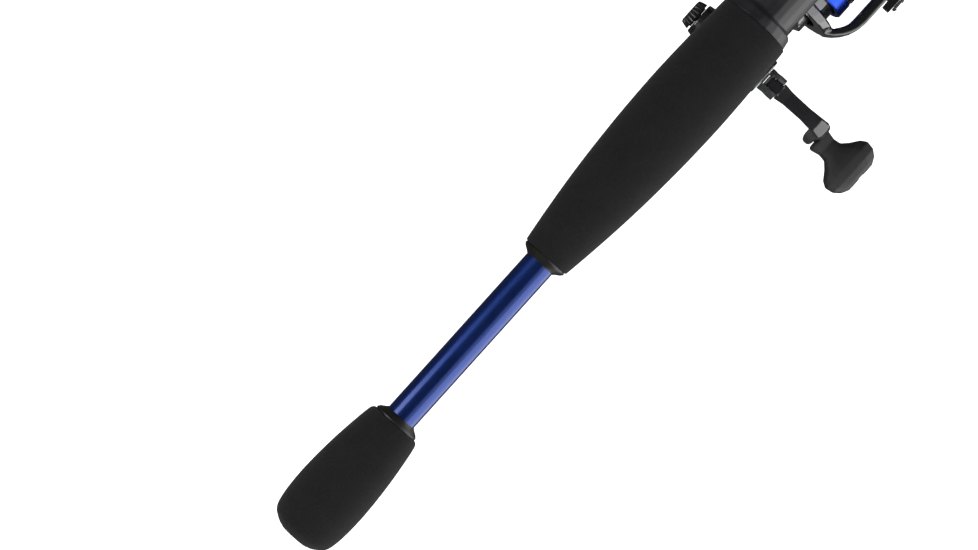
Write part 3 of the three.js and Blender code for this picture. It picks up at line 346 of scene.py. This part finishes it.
def moulded_plastic(name, dark, light, rough, depth, grain=2200.0):
    """Injection-moulded plastic with the fine grain of its mould."""
    made, tree, surface, place = material(name, dark, Roughness=rough)
    fine = put(tree, "TexNoise", {"Vector": place, "Scale": grain, "Detail": 4.0}).outputs["Fac"]
    slow = put(tree, "TexNoise", {"Vector": place, "Scale": 120.0, "Detail": 3.0}).outputs["Fac"]
    feed(tree, surface, "Base Color", mixed(tree, ranged(tree, slow, 0.0, 1.0, 0.3, 0.7), dark, light))
    feed(tree, surface, "Roughness", ranged(tree, slow, rough - 0.06, rough + 0.08, 0.3, 0.7))
    bumpy(tree, surface, fine, depth)
    return made


CHECK_PLASTIC = moulded_plastic("satin_check_plastic", 0x0D0D0C, 0x171714, 0.38, 0.000012)
for node, foot_behind in (("butt_check", True), ("rear_check", False), ("fore_check", True)):
    x0, x1 = span(node)
    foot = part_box(node)[1][2] * 1000
    cone = [
        (-0.28, BORE), (-0.28, foot - 0.25), (0.1, foot - 0.05), (0.5, foot), (1.4, foot - 0.75), (2.7, 6.5),
        (3.0, 6.32),
    ]
    profile = [(x0 + d, r) if foot_behind else (x1 - d, r) for d, r in cone]
    add_piece(f"moulded_{node}", turned(profile, 96), [node], "rod", CHECK_PLASTIC, 30)
RUBBER = moulded_plastic("moulded_rubber", 0x161617, 0x1E1E1F, 0.7, 0.00003)


SOFT_EDGE = 60


def smoothed(name, node, body, finish, voxel, rounds):
    """A cast or moulded piece: the CAD solid with its facets melted together and its edges softened."""
    piece = bpy.data.objects.new(name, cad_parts[node].data.copy())
    bpy.context.scene.collection.objects.link(piece)
    piece.data.materials.clear()
    piece.data.materials.append(finish)
    remesh = piece.modifiers.new("cells", "REMESH")
    remesh.mode = "VOXEL"
    remesh.voxel_size = voxel / 1000
    remesh.use_smooth_shade = True
    smooth = piece.modifiers.new("soften", "SMOOTH")
    smooth.factor = 0.5
    smooth.iterations = rounds
    bpy.context.view_layer.update()
    done = bpy.data.meshes.new_from_object(piece.evaluated_get(bpy.context.evaluated_depsgraph_get()))
    piece.modifiers.clear()
    piece.data = done
    done.materials.clear()
    done.materials.append(finish)
    finish_mesh(piece, SOFT_EDGE)
    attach(piece, body)
    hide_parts(node)
    return piece


def keep(nodes, finish, bevel):
    """CAD pieces whose shape is right: they get their finish, and edges broken by a small bevel."""
    for node in nodes:
        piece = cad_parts[node]
        piece.data.materials.clear()
        piece.data.materials.append(finish)
        edge = piece.modifiers.new("edges", "BEVEL")
        edge.width = bevel / 1000
        edge.segments = 2
        edge.limit_method = "ANGLE"
        edge.angle_limit = radians(40)


keep(["butt_plug"], RUBBER, 0.25)


# ---- reel seat, hoods and lock nut ----
# The seat is one moulding of graphite-filled nylon: a barrel with a fixed hood and a coarse thread. The other
# hood slides on it and the ribbed nut presses it over the reel's foot.

SEAT_PLASTIC = moulded_plastic("graphite_filled_nylon", 0x151517, 0x1F1F22, 0.42, 0.00002)
HOOD_PLASTIC = moulded_plastic("glossy_filled_nylon", 0x101012, 0x1A1A1C, 0.3, 0.00001)
smoothed("moulded_reel_seat", "reel_seat", "rod", SEAT_PLASTIC, 0.42, 2)
smoothed("moulded_sliding_hood", "sliding_hood", "hood", HOOD_PLASTIC, 0.25, 4)


RIDGE_STEPS = 14


def ridged(profile, count, depth, centre, axis="x"):
    """A turned skin with ridges. Each profile point is (place, radius, share of the groove's depth)."""
    made = bmesh.new()
    sides = count * RIDGE_STEPS
    rings = []
    for at, radius, share in profile:
        points = []
        for i in range(sides if radius > ON_AXIS else 1):
            angle = 2 * pi * i / sides
            groove = (0.5 - 0.5 * cos(count * angle)) ** 3
            r = radius - share * depth * groove
            side, up = centre[0] + r * cos(angle), centre[1] + r * sin(angle)
            spot = (at, side, up) if axis == "x" else (side, at, up)
            points.append(made.verts.new(tuple(c / 1000 for c in spot)))
        rings.append(points)
    return skinned(made, rings, profile[0][1] > ON_AXIS)


x0, x1 = span("lock_nut")
nut = [
    (x0, 11.3, 0), (x0, 12.4, 0), (x0 + 1.0, 13.2, 0.3), (x0 + 1.6, 14, 1), (x1 - 3.4, 14, 1),
    (x1 - 2.8, 13.4, 0.4), (x1, 12, 0), (x1, 11.3, 0),
]
add_piece("ribbed_lock_nut", ridged(nut, 20, 0.7, (0, 0)), ["lock_nut"], "nut", HOOD_PLASTIC, 40)


# ---- metal wire: hook keeper, tube collar and bail wire ----
# Drawn stainless steel wire, bent cold and polished. The collar is a drawn steel ring that stops the tube's
# mouth from splitting when the sections are pulled out.

def metal(name, color, rough, line_scale=None, depth=0.000004):
    """Bare metal with the fine marks of its making: drawn, turned or ground."""
    made, tree, surface, place = material(name, color, Metallic=1.0, Roughness=rough)
    cloud = put(tree, "TexNoise", {"Vector": place, "Scale": 300.0, "Detail": 5.0}).outputs["Fac"]
    feed(tree, surface, "Roughness", ranged(tree, cloud, rough - 0.07, rough + 0.12, 0.3, 0.7))
    if line_scale:
        stretch = put(tree, "Mapping", {"Vector": place, "Scale": line_scale}).outputs["Vector"]
        lines = put(tree, "TexNoise", {"Vector": stretch, "Scale": 1.0, "Detail": 2.0}).outputs["Fac"]
        bumpy(tree, surface, lines, depth)
    return made


STEEL = metal("polished_stainless_steel", 0xC9CACB, 0.2, (4000.0, 4000.0, 4000.0))
TURNED_STEEL = metal("turned_steel", 0xB9BBBE, 0.26, (9000.0, 300.0, 300.0), 0.000006)


def wire(name, points, radius, node, body, finish):
    """Round wire along smooth points in millimetres."""
    curve = bpy.data.curves.new(name, "CURVE")
    curve.dimensions = "3D"
    curve.resolution_u = 10
    curve.bevel_depth = radius / 1000
    curve.bevel_resolution = 5
    curve.use_fill_caps = True
    spline = curve.splines.new("BEZIER")
    spline.bezier_points.add(len(points) - 1)
    for point, place in zip(spline.bezier_points, points):
        point.co = Vector(place) / 1000
        point.handle_left_type = point.handle_right_type = "AUTO"
    piece = bpy.data.objects.new(name, curve)
    bpy.context.scene.collection.objects.link(piece)
    curve.materials.append(finish)
    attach(piece, body)
    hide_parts(node)


KEEPER_WIRE = 0.55
low, high = (Vector(corner) * 1000 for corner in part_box("hook_keeper"))
mid, top = (low.x + high.x) / 2, high.z - KEEPER_WIRE
hook = [
    (-10, 0), (-7.2, -0.05), (-5.4, -1.6), (-3.2, -4.5), (0, -5.05), (3.2, -4.5), (5.4, -1.6), (7.2, -0.05),
    (10, 0),
]
hook_points = [(mid + x, 0, top + z) for x, z in hook]
wire("bent_hook_keeper", hook_points, KEEPER_WIRE, "hook_keeper", "rod", STEEL)

x0, x1 = span("tube_collar")
collar = [
    (x0, 6.3), (x0, 6.75), (x0 + 0.35, 7.05), (x0 + 0.9, 7.1), (x1 - 0.9, 7.1), (x1 - 0.35, 7.05), (x1, 6.75),
    (x1, 6.3),
]
add_piece("drawn_tube_collar", turned(collar, 96), ["tube_collar"], "rod", STEEL, 40)


# ---- line guides ----
# Each frame is stamped and bent from steel strip, plated black and lashed on its section. A polished ceramic
# ring is pressed in it to carry the line.

PLATED = metal("black_plated_steel", 0x2B2B2E, 0.34, (3000.0, 3000.0, 3000.0))


def ceramic():
    """Hard ceramic, ground and polished."""
    made, tree, surface, place = material("polished_ceramic", 0x26282C, Roughness=0.08, IOR=1.9)
    cloud = put(tree, "TexNoise", {"Vector": place, "Scale": 500.0}).outputs["Fac"]
    feed(tree, surface, "Base Color", mixed(tree, cloud, 0x222428, 0x2E3035))
    return made


CERAMIC = ceramic()
RING_WALL = 1.1
RING_STEPS = 20
GUIDES = [("2", "second_section"), ("3", "third_section"), ("4", "fourth_section"), ("5", "tip_section")]
for number, body in GUIDES:
    frame_node, node = f"guide_frame_{number}", f"guide_ring_{number}"
    smoothed(f"plated_{frame_node}", frame_node, body, PLATED, 0.16, 4)
    low, high = (Vector(corner) * 1000 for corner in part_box(node))
    mid, half = (low + high) / 2, (high - low) / 2
    core = half.y - RING_WALL / 2
    turns = [2 * pi * k / RING_STEPS for k in range(RING_STEPS)]
    ring = [(mid.x + half.x * cos(a), core + RING_WALL / 2 * sin(a)) for a in turns]
    add_piece(f"ceramic_{node}", turned(ring, 64, mid.z), [node], body, CERAMIC, 60)


# ---- reel body and side cover ----
# Die-cast housings, trimmed, primed and sprayed gloss black. The body carries the foot on its stem, the neck
# that the rotor turns on and the crank's bearings; the cover closes it with three screws.

def gloss_paint(name, color, light, rough=0.22):
    """Sprayed paint under a clear coat, with its faint orange peel."""
    made, tree, surface, place = material(name, color, Roughness=rough, Coat_Weight=1.0, Coat_Roughness=0.05)
    peel = put(tree, "TexNoise", {"Vector": place, "Scale": 420.0, "Detail": 2.0}).outputs["Fac"]
    slow = put(tree, "TexNoise", {"Vector": place, "Scale": 60.0, "Detail": 4.0}).outputs["Fac"]
    feed(tree, surface, "Base Color", mixed(tree, slow, color, light))
    feed(tree, surface, "Roughness", ranged(tree, slow, rough - 0.05, rough + 0.1, 0.3, 0.7))
    bumpy(tree, surface, peel, 0.00001, ("Normal", "Coat Normal"))
    return made


BLACK_PAINT = gloss_paint("gloss_black_paint", 0x0C0C0D, 0x151517)
smoothed("painted_reel_body", "reel_body", "rod", BLACK_PAINT, 0.4, 9)
smoothed("painted_side_cover", "side_cover", "rod", BLACK_PAINT, 0.22, 3)
keep(["cover_screw_1", "cover_screw_2", "cover_screw_3"], STEEL, 0.1)
keep(["gear_bearing_left", "gear_bearing_right", "pinion_bearing", "clutch_bearing"], TURNED_STEEL, 0.2)
SATIN_BLACK = moulded_plastic("satin_black_nylon", 0x0F0F10, 0x1A1A1B, 0.36, 0.000015)
smoothed("moulded_reverse_lever", "anti_reverse_lever", "reverse_lever", SATIN_BLACK, 0.2, 3)


# ---- gears, shaft and slider ----
# The drive gear and the slider are die-cast zinc alloy, the pinion and the oscillator gear are machined
# brass, and the shaft is ground stainless steel.

ZINC = metal("die_cast_zinc", 0x9A9CA0, 0.42, (1200.0, 1200.0, 1200.0), 0.00002)
BRASS = metal("machined_brass", 0xC0983F, 0.3, (9000.0, 400.0, 400.0), 0.000006)
keep(["drive_gear", "slider"], ZINC, 0.12)
keep(["oscillator_gear", "pinion"], BRASS, 0.1)
keep(["rotor_nut"], BRASS, 0.25)
low, high = (Vector(corner) * 1000 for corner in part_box("main_shaft"))
SPOOL_Z = (low.z + high.z) / 2
shaft = [(low.x, 0), (low.x, 1.8), (low.x + 0.2, 2.0), (high.x - 0.3, 2.0), (high.x, 1.7), (high.x, 0)]
add_piece("ground_main_shaft", turned(shaft, 64, SPOOL_Z), ["main_shaft"], "spool_shaft",
          TURNED_STEEL, 30)


# ---- rotor and bail ----
# The rotor is a moulded cup with two arms, painted like the body. The bail's arm and holder are painted
# castings on shouldered screws, with polished wire between them and a chromed roller for the line.

smoothed("painted_rotor", "rotor", "rotor_group", BLACK_PAINT, 0.4, 7)
smoothed("painted_bail_arm", "bail_arm", "bail", BLACK_PAINT, 0.2, 5)
smoothed("painted_bail_holder", "bail_holder", "bail", BLACK_PAINT, 0.2, 5)
keep(["arm_pivot_screw", "holder_pivot_screw"], STEEL, 0.15)
keep(["roller_screw"], STEEL, 0.12)

PIVOT_X = sum(span("arm_pivot_screw")) / 2
CLOSED = radians(68)
ARM_Y = 33.8
BAIL_WIRE = 0.9
# distance out from the pivots' line, and y
bail_route = [
    (17, ARM_Y), (20, ARM_Y), (27, ARM_Y - 4), (32, ARM_Y - 12), (36, ARM_Y - 23), (36.5, 0),
    (34, 18 - ARM_Y), (27, 7 - ARM_Y), (20, 0.8 - ARM_Y), (14, -ARM_Y), (10, -ARM_Y),
]
bail_points = [(PIVOT_X + out * cos(CLOSED), y, SPOOL_Z - out * sin(CLOSED)) for out, y in bail_route]
wire("bent_bail_wire", bail_points, BAIL_WIRE, "bail_wire", "bail", STEEL)
CHROME = metal("hard_chrome", 0xD8D9DB, 0.08)
keep(["line_roller"], CHROME, 0.15)


# ---- spool and drag ----
# The spool is turned from aluminium bar and anodised blue; its two lips are cut bright and polished. Felt
# washers under a spring ring brake it, and the ribbed knob sets how hard they are pressed.

def anodised(name, first, second, rough):
    """Turned aluminium with a dyed anodic skin, which keeps the lathe's fine rings."""
    made, tree, surface, place = material(name, first, Metallic=1.0, Roughness=rough)
    rings = put(tree, "Mapping", {"Vector": place, "Scale": (7000.0, 40.0, 40.0)}).outputs["Vector"]
    marks = put(tree, "TexNoise", {"Vector": rings, "Scale": 1.0, "Detail": 3.0}).outputs["Fac"]
    slow = put(tree, "TexNoise", {"Vector": place, "Scale": 80.0}).outputs["Fac"]
    feed(tree, surface, "Base Color", mixed(tree, slow, first, second))
    feed(tree, surface, "Roughness", ranged(tree, marks, rough - 0.06, rough + 0.1, 0.3, 0.7))
    bumpy(tree, surface, marks, 0.000008)
    return made


BLUE_ALLOY = anodised("blue_anodised_aluminium", 0x1B3FB4, 0x2449C2, 0.28)
BRIGHT_ALLOY = metal("diamond_cut_aluminium", 0xD6D8DC, 0.14, (6000.0, 60.0, 60.0))
spool_start = span("spool")[0]
spool = [
    (14.5, 2.3), (14.5, 19.2), (13.6, 20.25), (0.4, 20.3), (0, 20.7), (0, 22.1), (0.5, 22.6), (6, 22.6),
    (6.3, 22.3), (7.3, 22.3), (7.6, 22.6), (14.8, 22.6), (15.6, 22.55), (16.3, 22.1), (16.5, 21.4),
    (16.5, 16.8), (16.8, 16.1), (17.5, 16), (27.1, 16), (27.6, 16.4), (28.2, 19.6), (28.5, 21.4),
    (28.9, 22.1), (29.6, 22.55), (30.4, 22.5), (31.2, 21.6), (31.5, 20.4), (31.3, 16), (30.7, 12.9),
    (31.2, 11.3), (31.5, 10.9), (31.5, 10.5), (22, 10.5), (22, 2.3),
]
spool_piece = add_piece("turned_spool", turned([(spool_start + x, r) for x, r in spool], 128, SPOOL_Z),
                        ["spool"], "spool_group", BLUE_ALLOY, 32)
spool_piece.data.materials.append(BRIGHT_ALLOY)
for face in spool_piece.data.polygons:
    spot = face.center * 1000
    along, out = spot.x - spool_start, sqrt(spot.y ** 2 + (spot.z - SPOOL_Z) ** 2)
    front_lip = 28.3 < along < 31.6
    skirt_groove = 6 < along < 7.6 and out < 22.58
    if out > 21 and (front_lip or skirt_groove):
        face.material_index = 1


def felt():
    """Pressed wool felt soaked in grease."""
    made, tree, surface, place = material("greased_felt", 0x6B6255, Roughness=0.9)
    matted = {"Vector": place, "Scale": 2500.0, "Detail": 6.0, "Distortion": 1.5}
    fibres = put(tree, "TexNoise", matted).outputs["Fac"]
    shade = ranged(tree, fibres, 0.0, 1.0, 0.3, 0.7)
    feed(tree, surface, "Base Color", mixed(tree, shade, 0x50493E, 0x7D7363))
    bumpy(tree, surface, fibres, 0.0001)
    return made


keep(["drag_washer"], felt(), 0.2)
keep(["drag_retainer"], STEEL, 0.1)
x0, x1 = span("drag_knob")
drag_knob = [
    (x1 - 2.2, 0, 0), (x1 - 2.2, 2.3, 0), (x0, 2.3, 0), (x0, 6.8, 0), (x0 + 0.2, 7, 0), (x0 + 2.4, 7, 0),
    (x0 + 3.7, 12, 0), (x0 + 4.1, 12.4, 0), (x0 + 6.2, 12.4, 0), (x0 + 6.6, 12.1, 0), (x0 + 7.2, 11.2, 1),
    (x0 + 12, 10.1, 1), (x0 + 12.8, 9.2, 0.3), (x0 + 14.2, 7.6, 0), (x1 - 0.2, 6.2, 0), (x1, 5.6, 0),
    (x1, 0, 0),
]
add_piece("ribbed_drag_knob", ridged(drag_knob, 18, 0.8, (0, SPOOL_Z)), ["drag_knob"], "drag_knob_group",
          SATIN_BLACK, 40)


# ---- crank, knob and screw cap ----
# A steel shank runs through the drive gear to the screw cap on the far side. The cast arm is held in its fork
# by a pin, and the moulded knob turns on a riveted spindle.

keep(["crank_shank"], TURNED_STEEL, 0.2)
keep(["knuckle_pin", "knob_spindle"], STEEL, 0.12)
ARM_PAINT = gloss_paint("satin_black_paint", 0x121214, 0x1D1D20, 0.36)
smoothed("painted_crank_arm", "crank_arm", "crank", ARM_PAINT, 0.25, 7)
KNOB_PLASTIC = moulded_plastic("soft_touch_plastic", 0x161617, 0x202022, 0.62, 0.00004, 1500.0)
smoothed("moulded_crank_knob", "crank_knob", "knob", KNOB_PLASTIC, 0.3, 9)
GLOSS_BLACK = moulded_plastic("glossy_black_abs", 0x121213, 0x1C1C1E, 0.27, 0.000006)
low, high = (Vector(corner) * 1000 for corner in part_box("screw_cap"))
inner, outer = low.y, high.y
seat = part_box("side_cover")[1][1] * 1000 + 0.1
cap = [
    (inner, 0, 0), (inner, 1.3, 0), (inner + 0.2, 1.5, 0), (seat, 1.5, 0), (seat, 4.4, 0),
    (seat + 0.5, 4.4, 0), (seat + 0.5, 5.7, 0.6), (seat + 0.75, 6, 1), (outer - 0.6, 5.3, 1),
    (outer - 0.2, 4.9, 0.7), (outer, 4.3, 0), (outer, 3.6, 0), (outer - 0.25, 3.3, 0), (outer - 0.3, 0, 0),
]
axle = ((low.x + high.x) / 2, (low.z + high.z) / 2)
add_piece("ribbed_screw_cap", ridged(cap, 18, 0.6, axle, "y"), ["screw_cap"], "cap",
          GLOSS_BLACK, 40)
